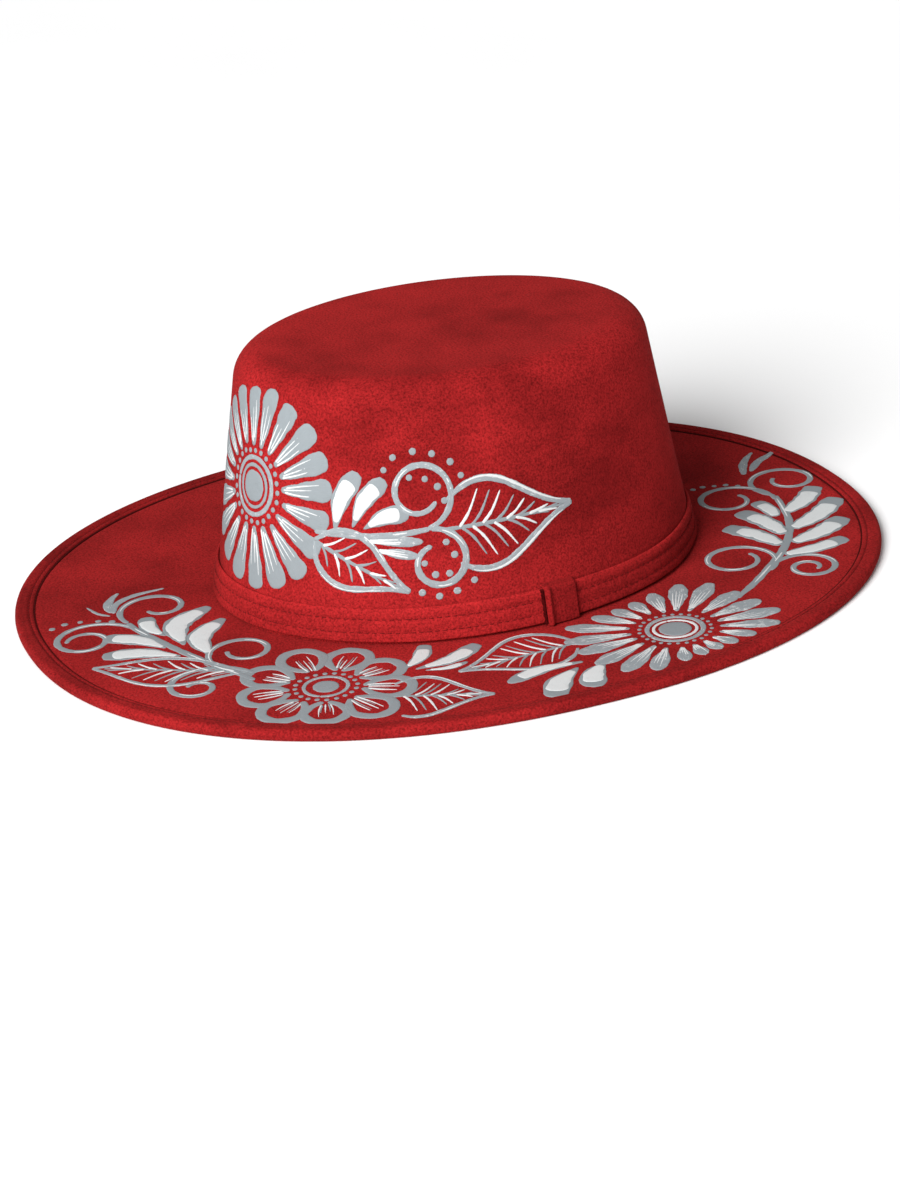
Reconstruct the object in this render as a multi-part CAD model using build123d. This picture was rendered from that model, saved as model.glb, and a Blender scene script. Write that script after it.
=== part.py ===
from build123d import *
import math
import os

# A bolero-style sombrero: an oval, flat-topped crown on a flat, stiff brim, both covered in suede,
# with a suede hatband and a loose keeper loop on it, a bound brim edge, a lining and a sweatband.
# Millimetres, +Z up. The origin is under the middle of the brim, on the plane that the hat rests on.
# -Y is the front, +X is the wearer's left. The whole hat is symmetrical about X = 0 but for its keeper.

# ---- Driving dimensions ----

brim_half_width = 160.0         # side to side, at the outside of the binding
brim_half_length = 187.0        # front to back
brim_squareness = 2.16          # exponent of the outline's superellipse; 2 is a plain ellipse

crown_half_width = 85.5         # outside of the crown's wall, carried down to the resting plane
crown_half_length = 106.0
crown_set_back = 3.5            # the crown stands this much behind the middle of the brim
crown_top = 110.0               # height of the crown's flat top
side_lean = 0.14                # how far the wall leans in, per millimetre of height
end_lean = 0.172
shoulder_radius = 14.0

suede = 0.8                     # one layer of suede on the brim
crown_suede = 1.0
crown_felt = 1.6                # pressed felt that gives the crown its shape
brim_board = 2.0                # stiffener inside the brim
lining_cloth = 0.6
collar_cloth = 1.0
sweatband_leather = 1.0
thread = 0.4                    # width of a row of stitches
thread_proud = 0.15             # how far a row of stitches stands out of its seam

binding_width = 8.0             # how far the folded binding comes in over the brim
binding_stitch_inset = 6.0      # from the brim's edge to the row of stitches
binding_edge_radius = 1.6
wire_radius = 0.9

band_height = 14.0
band_thickness = 1.6
band_upper_stitch_drop = 4.5    # below the hatband's upper edge
band_lower_stitch_rise = 4.0    # above its lower edge
band_joint_gap = 0.4            # between the two ends of the strip

keeper_azimuth = 97.0           # degrees round from the front towards the wearer's left
keeper_width = 12.5
keeper_outer_leg = 1.2
keeper_back_leg = 0.6
keeper_foot = 0.8               # the stretch that passes under the hatband
keeper_clearance = 0.3          # round everything that the loop slides past
keeper_face_clearance = 0.5     # over the hatband's face and its stitches

collar_top = 14.0
lining_joint_height = 92.0      # where the lining's side meets its oval tip
fitting_gap = 0.3               # between the collar and the sweatband
sweatband_top = 36.0
reed_low = 0.9
reed_high = 2.1
sweatband_stitch_height = 5.0
back_tape_width = 10.0
label_azimuth = 160.0
label_width = 14.0
label_low = 12.0
label_high = 23.0

outline_points = 72             # points that the brim's spline passes through

# ---- Worked out from them ----

# Heights through the brim, from the resting plane up.
under_cover_low = suede
board_low = under_cover_low + suede
board_high = board_low + brim_board
brim_top = board_high + suede
binding_top = brim_top + suede
wire_inset = suede + wire_radius + 0.2
board_inset = wire_inset + wire_radius + 0.2

# Depths below the crown's outer skin; a piece outside the crown has negative depths.
felt_depth = crown_suede
inner_depth = felt_depth + crown_felt
lining_depth = inner_depth + lining_cloth
collar_depth = inner_depth + collar_cloth
sweatband_depth = collar_depth + fitting_gap
head_depth = sweatband_depth + sweatband_leather

# The loop's back leg passes behind the hatband, so the hatband stands that far off the crown.
loop_back = -keeper_clearance
loop_back_face = loop_back - keeper_back_leg
band_back = loop_back_face - keeper_clearance
band_face = band_back - band_thickness
loop_front_face = band_face - keeper_face_clearance
loop_front = loop_front_face - keeper_outer_leg

loop_low = brim_top + keeper_clearance
loop_low_face = loop_low + keeper_foot
band_low = loop_low_face + keeper_clearance
band_high = band_low + band_height
loop_high_face = band_high + keeper_clearance
loop_high = loop_high_face + keeper_outer_leg

reach = 2 * brim_half_length    # longer than anything in the hat


# ---- Shapes that the sub-parts are cut from ----

def crown_solid(depth):
    """The crown filled in, with its skin taken in by depth, from the resting plane to its top."""
    top = crown_top - depth
    foot = Pos(0, crown_set_back, 0) * Ellipse(crown_half_width - depth, crown_half_length - depth)
    head_width = crown_half_width - depth - side_lean * top
    head_length = crown_half_length - depth - end_lean * top
    head = Pos(0, crown_set_back, top) * Ellipse(head_width, head_length)
    body = loft([foot.faces()[0], head.faces()[0]], ruled=True)
    return fillet(body.faces().sort_by(Axis.Z)[-1].edges(), shoulder_radius - depth)


def slab(low, high):
    """A flat slice of space, wider than the hat."""
    return Pos(0, 0, (low + high) / 2) * Box(reach, reach, high - low)


def crown_layer(outer, inner, low, high):
    """One layer that follows the crown, between two depths and two heights."""
    return (crown_solid(outer) - crown_solid(inner)) & slab(low, high)


def wedge(azimuth, width):
    """A strip of space of one width that runs outwards from the crown's middle."""
    strip = Pos(0, -reach / 2, 0) * Box(width, reach, reach)
    return Pos(0, crown_set_back, 0) * Rot(0, 0, azimuth) * strip


def superellipse(half_width, half_length):
    """The brim's outline as one closed spline."""
    power = 2 / brim_squareness
    points = []
    for step in range(outline_points):
        angle = 2 * math.pi * step / outline_points
        across = math.copysign(abs(math.cos(angle)) ** power, math.cos(angle))
        along = math.copysign(abs(math.sin(angle)) ** power, math.sin(angle))
        points.append((half_width * across, half_length * along))
    return Spline(*points, periodic=True)


def brim_outline(inset):
    return superellipse(brim_half_width - inset, brim_half_length - inset)


def brim_blank(inset, low, high):
    """A plate of the brim's outline, taken in by inset, between two heights."""
    face = make_face(brim_outline(inset))
    return Pos(0, 0, low) * extrude(face, high - low, dir=(0, 0, 1))


def brim_layer(inset, low, high):
    """A layer of the brim with the hole for the head in it."""
    return brim_blank(inset, low, high) - crown_solid(collar_depth)


# ---- The crown ----

def make_crown_cover():
    return crown_layer(0, felt_depth, brim_top, crown_top)


def make_crown_stiffener():
    return crown_layer(felt_depth, inner_depth, brim_top, crown_top)


def make_lining_side():
    return crown_layer(inner_depth, lining_depth, collar_top + fitting_gap, lining_joint_height)


def make_lining_tip():
    return crown_layer(inner_depth, lining_depth, lining_joint_height, crown_top)


# ---- The brim ----

def make_head_collar():
    """The inner edge of the brim, turned up inside the crown and sewn to it."""
    return crown_layer(inner_depth, collar_depth, brim_top, collar_top)


def make_collar_stitching():
    middle = (brim_top + collar_top) / 2
    return crown_layer(collar_depth, collar_depth + thread_proud, middle - thread / 2, middle + thread / 2)


def make_brim_top_cover():
    return brim_layer(suede, board_high, brim_top)


def make_brim_stiffener():
    return brim_layer(board_inset, board_low, board_high)


def make_brim_under_cover():
    return brim_layer(suede, under_cover_low, board_low)


def make_brim_edge_wire():
    """The wire that keeps the edge flat, between the two covers and outside the board."""
    path = Pos(0, 0, (board_low + board_high) / 2) * brim_outline(wire_inset)
    section = Plane(origin=path @ 0, z_dir=path % 0) * Circle(wire_radius)
    return sweep(section, path=path)


def make_brim_edge_binding():
    """A strip of suede folded over the edge and down both faces of the brim."""
    block = brim_blank(0, 0, binding_top)
    rims = block.edges().filter_by_position(Axis.Z, 0, 0) + block.edges().filter_by_position(
        Axis.Z, binding_top, binding_top)
    block = fillet(rims, binding_edge_radius)
    return block - brim_blank(suede, suede, brim_top) - brim_blank(binding_width, -suede, reach)


def make_brim_edge_stitching():
    low, high = binding_top, binding_top + thread_proud
    ring = brim_blank(binding_stitch_inset - thread / 2, low, high)
    return ring - brim_blank(binding_stitch_inset + thread / 2, low - suede, high + suede)


# ---- The hatband ----

def make_hatband():
    """A strip of suede round the crown, whose two ends meet under the keeper."""
    strip = crown_layer(band_face, band_back, band_low, band_high)
    return strip - wedge(keeper_azimuth, band_joint_gap)


def band_stitching(height):
    ring = crown_layer(band_face - thread_proud, band_face, height - thread / 2, height + thread / 2)
    return ring - wedge(keeper_azimuth, band_joint_gap)


def make_hatband_upper_stitching():
    return band_stitching(band_high - band_upper_stitch_drop)


def make_hatband_lower_stitching():
    return band_stitching(band_low + band_lower_stitch_rise)


def make_band_keeper():
    """A flat loop of suede right round the hatband, free to slide along it."""
    block = crown_layer(loop_front, loop_back, loop_low, loop_high) & wedge(keeper_azimuth, keeper_width)
    return block - crown_layer(loop_front_face, loop_back_face, loop_low_face, loop_high_face)


# ---- Inside the crown ----

def make_sweatband():
    strip = crown_layer(sweatband_depth, head_depth, reed_high, sweatband_top)
    return strip - wedge(180, band_joint_gap)


def make_sweatband_reed():
    """The cord that the sweatband's lower edge is sewn to."""
    return crown_layer(sweatband_depth, head_depth, reed_low, reed_high)


def make_sweatband_stitching():
    low = sweatband_stitch_height - thread / 2
    ring = crown_layer(head_depth, head_depth + thread_proud, low, low + thread)
    return ring - wedge(180, back_tape_width)


def make_sweatband_back_tape():
    """A strip of leather over the joint of the sweatband's two ends."""
    strip = crown_layer(head_depth, head_depth + lining_cloth, reed_high, sweatband_top)
    return strip & wedge(180, back_tape_width)


def make_size_label():
    """A small blank cloth label on the sweatband."""
    patch = crown_layer(head_depth, head_depth + thread_proud, label_low, label_high)
    return patch & wedge(label_azimuth, label_width)


SUBPARTS = {
    "crown_cover": make_crown_cover,
    "crown_stiffener": make_crown_stiffener,
    "lining_side": make_lining_side,
    "lining_tip": make_lining_tip,
    "head_collar": make_head_collar,
    "collar_stitching": make_collar_stitching,
    "brim_top_cover": make_brim_top_cover,
    "brim_stiffener": make_brim_stiffener,
    "brim_under_cover": make_brim_under_cover,
    "brim_edge_wire": make_brim_edge_wire,
    "brim_edge_binding": make_brim_edge_binding,
    "brim_edge_stitching": make_brim_edge_stitching,
    "hatband": make_hatband,
    "hatband_upper_stitching": make_hatband_upper_stitching,
    "hatband_lower_stitching": make_hatband_lower_stitching,
    "band_keeper": make_band_keeper,
    "sweatband": make_sweatband,
    "sweatband_reed": make_sweatband_reed,
    "sweatband_stitching": make_sweatband_stitching,
    "sweatband_back_tape": make_sweatband_back_tape,
    "size_label": make_size_label,
}

os.makedirs("parts", exist_ok=True)
for node, make in SUBPARTS.items():
    export_step(make(), f"parts/{node}.step")
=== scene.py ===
import math
import random

import bmesh
import bpy
import numpy as np
from mathutils import Matrix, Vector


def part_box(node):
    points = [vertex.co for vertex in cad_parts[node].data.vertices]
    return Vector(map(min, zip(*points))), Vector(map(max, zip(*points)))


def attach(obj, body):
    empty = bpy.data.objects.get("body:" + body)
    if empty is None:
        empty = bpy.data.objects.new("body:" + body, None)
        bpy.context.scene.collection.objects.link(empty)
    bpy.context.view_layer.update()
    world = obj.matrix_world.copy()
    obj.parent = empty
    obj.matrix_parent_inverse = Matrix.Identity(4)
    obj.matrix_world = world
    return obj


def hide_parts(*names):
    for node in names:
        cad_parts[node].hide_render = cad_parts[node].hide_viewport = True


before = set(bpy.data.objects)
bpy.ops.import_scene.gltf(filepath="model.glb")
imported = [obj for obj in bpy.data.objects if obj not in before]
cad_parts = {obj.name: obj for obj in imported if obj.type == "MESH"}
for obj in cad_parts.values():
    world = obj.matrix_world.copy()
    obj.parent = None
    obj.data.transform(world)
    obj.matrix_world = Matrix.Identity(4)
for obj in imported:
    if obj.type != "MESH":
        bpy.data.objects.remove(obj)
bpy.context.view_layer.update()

random.seed(7)

# ---- Sizes, in millimetres, worked out from the frame ----

MM = 0.001                      # shapes are worked out in millimetres, and meshes written in metres
SEGMENTS = 288                  # points round the hat
FINE_SEGMENTS = 480             # round the brim's pieces
STITCH_SEGMENTS = 720           # round a path that stitches follow
SAME_POINT = 2e-6               # metres; points nearer than this are joined
NO_LENGTH = 1e-7


def node_box(node):
    """The lowest and highest corners of a CAD node, in millimetres."""
    low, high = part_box(node)
    return np.array(low) / MM, np.array(high) / MM


binding_box = node_box("brim_edge_binding")
crown_box = node_box("crown_cover")
tip_box = node_box("lining_tip")
band_box = node_box("hatband")
keeper_box = node_box("band_keeper")
sweatband_box = node_box("sweatband")
reed_box = node_box("sweatband_reed")
label_box = node_box("size_label")
lining_box = node_box("lining_side")

# The sizes below that the frame doesn't tell are those that the part was drawn with.

brim_half_width, brim_half_length, binding_top = binding_box[1]
brim_squareness = 2.16          # exponent of the brim's superellipse
brim_top = node_box("brim_top_cover")[1][2]
suede = binding_top - brim_top
binding_width = 8.0
binding_stitch_inset = 6.0
collar_cloth = 1.0

crown_suede = 1.0
crown_felt = 1.6
inner_depth = crown_suede + crown_felt
crown_middle = (crown_box[0][1] + crown_box[1][1]) / 2
crown_top = crown_box[1][2]
shoulder_radius = 14.0
lean_height = tip_box[0][2] - brim_top
foot_half = (crown_box[1] - crown_box[0]) / 2
tip_half = (tip_box[1] - tip_box[0]) / 2
side_lean = (foot_half[0] - tip_half[0] - inner_depth) / lean_height
end_lean = (foot_half[1] - tip_half[1] - inner_depth) / lean_height
crown_half_width = foot_half[0] + side_lean * brim_top
crown_half_length = foot_half[1] + end_lean * brim_top

side_tilt = math.atan(side_lean)
end_tilt = math.atan(end_lean)
shoulder_start = (side_tilt + end_tilt) / 2     # the wall's tilt, where the shoulder's arc begins
shoulder_middle = crown_top - shoulder_radius
spring_height = shoulder_middle + shoulder_radius * math.sin(shoulder_start)

lining_cloth = 0.6
sweatband_leather = 1.0
sweatband_seam = 5.0            # height of its stitches
back_tape_width = 10.0
label_azimuth = 160.0
label_width = 14.0


# ---- Shapes that the pieces follow ----

def wall_axes(depth, height):
    """The half-axes of the crown's wall at a height, depth millimetres below its skin."""
    return crown_half_width - depth - side_lean * height, crown_half_length - depth - end_lean * height


def shoulder_axes(depth, turn):
    """The same on the rounded shoulder, where the skin has turned up by an angle from the level."""
    radius = shoulder_radius - depth
    width, length = wall_axes(depth, shoulder_middle)
    width += radius * (np.cos(turn) - 1 / math.cos(side_tilt))
    length += radius * (np.cos(turn) - 1 / math.cos(end_tilt))
    return width, length, shoulder_middle + radius * np.sin(turn)


def wall_rings(depth, low, high, steps):
    return [(*wall_axes(depth, z), z) for z in np.linspace(low, high, steps)]


def crown_rings(depth, low, steps=40, turns=14, shrinks=26):
    """Rings from a height on the wall, over the shoulder and in to the middle of the flat top."""
    rings = wall_rings(depth, low, spring_height, steps)
    rings += [shoulder_axes(depth, a) for a in np.linspace(shoulder_start, math.pi / 2, turns)[1:]]
    width, length, height = rings[-1]
    rings += [(width * k, length * k, height) for k in np.linspace(1, 0, shrinks)[1:]]
    return rings


def ellipse(width, length, height, angles):
    """Points on a level ellipse round the crown's middle. Angle 0 is the front, a quarter turn the left."""
    return np.stack([width * np.sin(angles), crown_middle - length * np.cos(angles),
                     np.full(len(angles), height)], axis=1)


def superellipse(inset, angles):
    """Points on the brim's outline taken in by inset. Angle 0 is the front, a quarter turn the left."""
    power = 2 / brim_squareness
    across = np.sign(np.sin(angles)) * np.abs(np.sin(angles)) ** power
    along = -np.sign(np.cos(angles)) * np.abs(np.cos(angles)) ** power
    return np.stack([(brim_half_width - inset) * across, (brim_half_length - inset) * along], axis=1)


def full_turn(count=SEGMENTS):
    return np.linspace(0, 2 * math.pi, count, endpoint=False)


# ---- Meshes ----

def new_object(name, points, faces):
    mesh = bpy.data.meshes.new(name)
    mesh.from_pydata([tuple(p) for p in np.asarray(points) * MM], [], faces)
    piece = bpy.data.objects.new(name, mesh)
    bpy.context.scene.collection.objects.link(piece)
    return piece


def tidy_mesh(piece, join=True):
    """Turns the faces outwards and shades them smooth. With join, points that meet become one."""
    work = bmesh.new()
    work.from_mesh(piece.data)
    if join:
        bmesh.ops.remove_doubles(work, verts=work.verts, dist=SAME_POINT)
        bmesh.ops.dissolve_degenerate(work, edges=work.edges, dist=NO_LENGTH)
    bmesh.ops.recalc_face_normals(work, faces=work.faces)
    for face in work.faces:
        face.smooth = True
    work.to_mesh(piece.data)
    work.free()


def grid_faces(rows, columns, close_rows, close_columns, first=0):
    """Quads over a grid of points, whose last row or column may join its first."""
    faces = []
    for r in range(rows if close_rows else rows - 1):
        for c in range(columns if close_columns else columns - 1):
            below, right = (r + 1) % rows, (c + 1) % columns
            faces.append((first + r * columns + c, first + r * columns + right,
                          first + below * columns + right, first + below * columns + c))
    return faces


def surface(name, grid, close_rows=False, close_columns=True, caps=False):
    """A mesh over a grid of points. With caps, the first and last columns are filled in."""
    rows, columns = grid.shape[:2]
    faces = grid_faces(rows, columns, close_rows, close_columns)
    if caps:
        faces.append(tuple(r * columns for r in range(rows)))
        faces.append(tuple(r * columns + columns - 1 for r in range(rows)))
    piece = new_object(name, grid.reshape(-1, 3), faces)
    tidy_mesh(piece)
    return piece


def lathe(name, rings, close_rows=False, ripple=None):
    """A surface through level ellipses round the crown's middle. ripple moves its points."""
    angles = full_turn()
    grid = np.array([ellipse(*ring, angles) for ring in rings])
    if ripple is not None:
        grid = ripple(grid, angles)
    return surface(name, grid, close_rows=close_rows)


def outward(grid):
    """Level directions away from the crown's middle, one for each point."""
    away = grid - np.array([0, crown_middle, 0])
    away[..., 2] = 0
    return away / np.maximum(np.linalg.norm(away, axis=-1, keepdims=True), 1e-6)


def waves(angles, amounts):
    """A smooth, uneven wave round the hat, from (how many, how high, where) for each part."""
    return sum(high * np.sin(many * angles + where) for many, high, where in amounts)


# ---- Materials ----

def feed(tree, socket, value):
    """Links a socket to a node's output, or sets it to a plain value."""
    if isinstance(value, bpy.types.NodeSocket):
        tree.links.new(value, socket)
    else:
        socket.default_value = value


def add_node(tree, kind, **inputs):
    node = tree.nodes.new(kind)
    for name, value in inputs.items():
        feed(tree, node.inputs[name], value)
    return node


def noise(tree, place, scale, detail=4.0, roughness=0.6):
    return add_node(tree, "ShaderNodeTexNoise", Vector=place, Scale=scale, Detail=detail,
                    Roughness=roughness).outputs["Fac"]


def stretched(tree, place, *scales):
    """The place with each axis scaled, so that a noise runs along one of them."""
    return add_node(tree, "ShaderNodeMapping", Vector=place, Scale=scales).outputs["Vector"]


def ramp(tree, value, *stops):
    """A colour for each value, from (value, colour) stops. A plain number as a colour is a grey."""
    node = add_node(tree, "ShaderNodeValToRGB", Fac=value)
    elements = node.color_ramp.elements
    while len(elements) < len(stops):
        elements.new(0.5)
    for element, (place, colour) in zip(elements, stops):
        element.position = place
        element.color = (*(colour if isinstance(colour, tuple) else (colour,) * 3), 1)
    return node.outputs["Color"]


def blend_values(tree, first, second, share):
    """first and second mixed, with that share of second."""
    return add_node(tree, "ShaderNodeMix", Factor=share, A=first, B=second).outputs["Result"]


def blend_colours(tree, first, second, factor=1.0, mode="MIX"):
    """first and second mixed, with factor as the share of second."""
    node = tree.nodes.new("ShaderNodeMix")
    node.data_type = "RGBA"
    node.blend_type = mode
    feed(tree, node.inputs["Factor"], factor)
    colours = [socket for socket in node.inputs if socket.type == "RGBA"]
    feed(tree, colours[0], first)
    feed(tree, colours[1], (*second, 1) if isinstance(second, tuple) else second)
    return next(socket for socket in node.outputs if socket.type == "RGBA")


def bump(tree, height, distance, strength, **under):
    node = add_node(tree, "ShaderNodeBump", Height=height, Distance=distance, Strength=strength, **under)
    return node.outputs["Normal"]


def material(name, roughness, specular, **sockets):
    """A new material, its node tree and the object's own coordinates."""
    made = bpy.data.materials.new(name)
    made.use_nodes = True
    shader = made.node_tree.nodes["Principled BSDF"]
    shader.inputs["Roughness"].default_value = roughness
    shader.inputs["Specular IOR Level"].default_value = specular
    for socket, value in sockets.items():
        shader.inputs[socket.replace("_", " ")].default_value = value
    return made, made.node_tree, add_node(made.node_tree, "ShaderNodeTexCoord").outputs["Object"]


def coated(made, colour, normal=None):
    """The material with a colour and a normal led to its shader."""
    shader = made.node_tree.nodes["Principled BSDF"]
    feed(made.node_tree, shader.inputs["Base Color"], colour)
    if normal is not None:
        feed(made.node_tree, shader.inputs["Normal"], normal)
    return made


def scaled(colour, amount):
    return tuple(c * amount for c in colour)


def mottled(tree, value, colour, low, dark, high, light):
    """A colour that runs from dark to light, as shares of itself, between two values."""
    return ramp(tree, value, (low, scaled(colour, dark)), (high, scaled(colour, light)))


def suede_material(name, colour, patchiness=0.7):
    """Faux suede: brushed patches of nap, fine fibres and a soft sheen, with painted shade darkening grooves
    and edges paler from wear.
    """
    made, tree, place = material(name, 1.0, 0.03, Sheen_Weight=0.08, Sheen_Roughness=0.4,
                                 Sheen_Tint=(1.0, 0.12, 0.1, 1))
    patches = noise(tree, place, 16.0, 3.0, 0.5)
    nap = noise(tree, stretched(tree, place, 1.0, 1.0, 2.4), 60.0, 5.0, 0.55)
    fibres = noise(tree, place, 1100.0, 3.0, 0.75)
    dark, light = scaled(colour, 1 - 0.42 * patchiness), scaled(colour, 1 + 0.33 * patchiness)
    base = ramp(tree, blend_values(tree, patches, nap, 0.3), (0.36, dark), (0.5, colour), (0.64, light))
    speckle = ramp(tree, fibres, (0.36, 0.5), (0.5, 0.92), (0.64, 1.22))
    pointiness = add_node(tree, "ShaderNodeNewGeometry").outputs["Pointiness"]
    # Painted shade: the colour is darkened where the surface is hollow, as in grooves; rubbed wear makes
    # sharp edges paler.
    groove_shade_and_edge_wear = ramp(tree, pointiness, (0.40, (0.12, 0.10, 0.10)), (0.485, 0.85), (0.51, 0.85), (0.58, 1.1))
    napped = blend_colours(tree, base, speckle, mode="MULTIPLY")
    soft = bump(tree, nap, 0.0006, 0.35)
    return coated(made, blend_colours(tree, napped, groove_shade_and_edge_wear, mode="MULTIPLY"),
                  bump(tree, fibres, 0.0004, 0.8, Normal=soft))


def felt_material(name, colour):
    """Pressed felt: matted wool with pale and dark flecks."""
    made, tree, place = material(name, 0.95, 0.15)
    wool = noise(tree, place, 420.0, 8.0, 0.75)
    return coated(made, mottled(tree, wool, colour, 0.35, 0.7, 0.65, 1.2), bump(tree, wool, 0.0005, 0.7))


def satin_material(name, colour):
    """Satin lining: fine close weave with long soft highlights."""
    made, tree, place = material(name, 0.38, 0.45, Sheen_Weight=0.3, Anisotropic=0.4)
    weave = add_node(tree, "ShaderNodeTexWave", Vector=place, Scale=900.0, Distortion=1.5)
    folds = noise(tree, place, 60.0, 3.0)
    return coated(made, mottled(tree, folds, colour, 0.3, 0.75, 0.7, 1.25),
                  bump(tree, weave.outputs["Fac"], 0.00008, 0.5))


def leather_material(name, colour):
    """Thin leather: pebbled grain with darker and paler stains."""
    made, tree, place = material(name, 0.55, 0.4)
    cells = add_node(tree, "ShaderNodeTexVoronoi", Vector=place, Scale=900.0)
    cells.feature = "DISTANCE_TO_EDGE"
    grain = ramp(tree, cells.outputs["Distance"], (0.0, 0.0), (0.12, 1.0))
    stain = noise(tree, place, 55.0, 5.0)
    return coated(made, mottled(tree, stain, colour, 0.3, 0.7, 0.7, 1.25), bump(tree, grain, 0.00012, 0.5))


def thread_material(name, colour):
    """Twisted sewing thread."""
    made, tree, place = material(name, 0.8, 0.08)
    twist = noise(tree, place, 2600.0, 2.0)
    return coated(made, mottled(tree, twist, colour, 0.35, 0.65, 0.65, 1.3), bump(tree, twist, 0.0002, 0.6))


def steel_material(name):
    """Drawn wire with fine scratches along it."""
    made, tree, place = material(name, 0.4, 0.5, Metallic=1.0)
    scratches = noise(tree, stretched(tree, place, 1.0, 1.0, 8.0), 700.0, 3.0)
    return coated(made, ramp(tree, scratches, (0.3, (0.45, 0.45, 0.47)), (0.7, (0.7, 0.7, 0.72))))


def paint_material(name, colour, streak_colour, streaks, gaps=0.0):
    """Textile paint laid on with a brush: streaks along each stroke, and suede showing through in gaps."""
    made, tree, place = material(name, 0.75, 0.25)
    brush = tree.nodes.new("ShaderNodeUVMap")
    brush.uv_map = "brush"
    bristles = noise(tree, stretched(tree, brush.outputs["UV"], 0.3, 3.0, 1.0), 1.0, 5.0, 0.7)
    mixed = blend_values(tree, bristles, noise(tree, place, 300.0, 5.0, 0.7), 0.4)
    shade = ramp(tree, mixed, (0.3, scaled(colour, 0.84)), (0.48, colour), (0.56, colour),
                 (0.78 - 0.2 * streaks, streak_colour))
    missed = blend_values(tree, bristles, noise(tree, place, 1300.0, 3.0, 0.7), 0.6)
    bare = ramp(tree, missed, (0.29 + gaps, 1.0), (0.33 + gaps, 0.0))
    return coated(made, blend_colours(tree, shade, scaled(RED, 0.9), bare), bump(tree, mixed, 0.0002, 0.5))


RED = (0.31, 0.0137, 0.0146)
WHITE = (0.53, 0.55, 0.55)
GREY = (0.205, 0.230, 0.243)
crown_red = suede_material("crown_suede_red", RED, 0.8)
brim_red = suede_material("brim_suede_red", RED)
# Painted shade: the binding's suede is made darker than the brim's, so that its side facing the light looks
# no brighter.
binding_shaded_red = suede_material("binding_suede_red_shaded", scaled(RED, 0.8))
band_red = suede_material("band_suede_red", scaled(RED, 0.97))
# Painted shade: the keeper's suede is made darker than the band's, for its nap turned away from the light.
keeper_shaded_red = suede_material("keeper_suede_red_shaded", scaled(RED, 0.72))
# Painted shadow: a near black suede for the cord in the binding's groove and the strip beside the keeper's
# rib.
painted_shadow_red = suede_material("painted_shadow_cord_red", scaled(RED, 0.14))
felt = felt_material("pressed_felt", (0.5, 0.45, 0.37))
satin = satin_material("lining_satin", (0.2, 0.012, 0.014))
leather = leather_material("sweatband_leather", (0.12, 0.045, 0.022))
red_thread = thread_material("red_thread", scaled(RED, 0.4))
label_cloth = felt_material("label_cloth", (0.75, 0.73, 0.68))
steel = steel_material("spring_steel")
grey_paint = paint_material("grey_paint", GREY, scaled(GREY, 1.3), 0.2)
pale_paint = paint_material("pale_grey_paint", scaled(GREY, 1.12), scaled(WHITE, 0.95), 0.9, gaps=0.06)
white_paint = paint_material("white_paint", WHITE, scaled(WHITE, 1.06), 0.2, gaps=0.03)


def dress(piece, skin, slot, *stands_for, body="hat"):
    """Gives a piece its material and its body, and hides the CAD nodes that it stands for. Its slot is not
    used.
    """
    piece.data.materials.clear()
    piece.data.materials.append(skin)
    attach(piece, body)
    if stands_for:
        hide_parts(*stands_for)


# ---- The camera ----

CAMERA_AZIMUTH = 70.02          # degrees, from the front towards the wearer's left
CAMERA_ELEVATION = 22.71
CAMERA_ROLL = -4.44
CAMERA_DISTANCE = 1.400         # metres, from the frame's origin
CAMERA_LENS = 97.5
CAMERA_SHIFT = -0.0266          # of the picture's height


def away_towards(azimuth, elevation):
    """The direction at an azimuth, from the front towards the left, and an elevation, in degrees."""
    a, e = math.radians(azimuth), math.radians(elevation)
    return np.array([math.sin(a) * math.cos(e), -math.cos(a) * math.cos(e), math.sin(e)])


def put(name, data, right, up, back, place):
    """A new object at a place, in metres, that looks along the opposite of back."""
    thing = bpy.data.objects.new(name, data)
    bpy.context.scene.collection.objects.link(thing)
    axes = np.stack([right, up, back], axis=1)
    thing.matrix_world = Matrix([(*axes[i], place[i]) for i in range(3)] + [(0, 0, 0, 1)])
    return thing


def add_camera():
    """Looks at the origin from its azimuth, elevation and distance."""
    azimuth, roll = math.radians(CAMERA_AZIMUTH), math.radians(CAMERA_ROLL)
    back = away_towards(CAMERA_AZIMUTH, CAMERA_ELEVATION)
    level = np.array([math.cos(azimuth), math.sin(azimuth), 0])
    upright = np.cross(back, level)
    right = math.cos(roll) * level + math.sin(roll) * upright
    up = math.cos(roll) * upright - math.sin(roll) * level
    camera = put("camera", bpy.data.cameras.new("camera"), right, up, back, back * CAMERA_DISTANCE)
    camera.data.lens = CAMERA_LENS
    camera.data.shift_y = CAMERA_SHIFT
    bpy.context.scene.camera = camera


# ---- The studio ----

FLOOR_REACH = 40000.0           # millimetres each way, so that low views see no edge
KEY_AZIMUTH, KEY_ELEVATION, KEY_DISTANCE = 38, 31, 3
KEY_STRENGTH, KEY_SPREAD = 4.45, 32.0               # watts per square metre, degrees
FILL_AZIMUTH, FILL_ELEVATION, FILL_DISTANCE = 54, 40, 0.54
FILL_STRENGTH, FILL_WIDTH = 0.92, 0.35              # watts, metres
SKY_STRENGTH = 0.32


def add_light(kind, name, place, strength):
    """A light at a place, in metres, that faces the hat."""
    back = place / np.linalg.norm(place)
    side = np.cross((0, 0, 1), back)
    side = side / np.linalg.norm(side)
    light = put(name, bpy.data.lights.new(name, kind), side, np.cross(back, side), back, place)
    light.data.energy = strength
    return light.data


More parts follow.
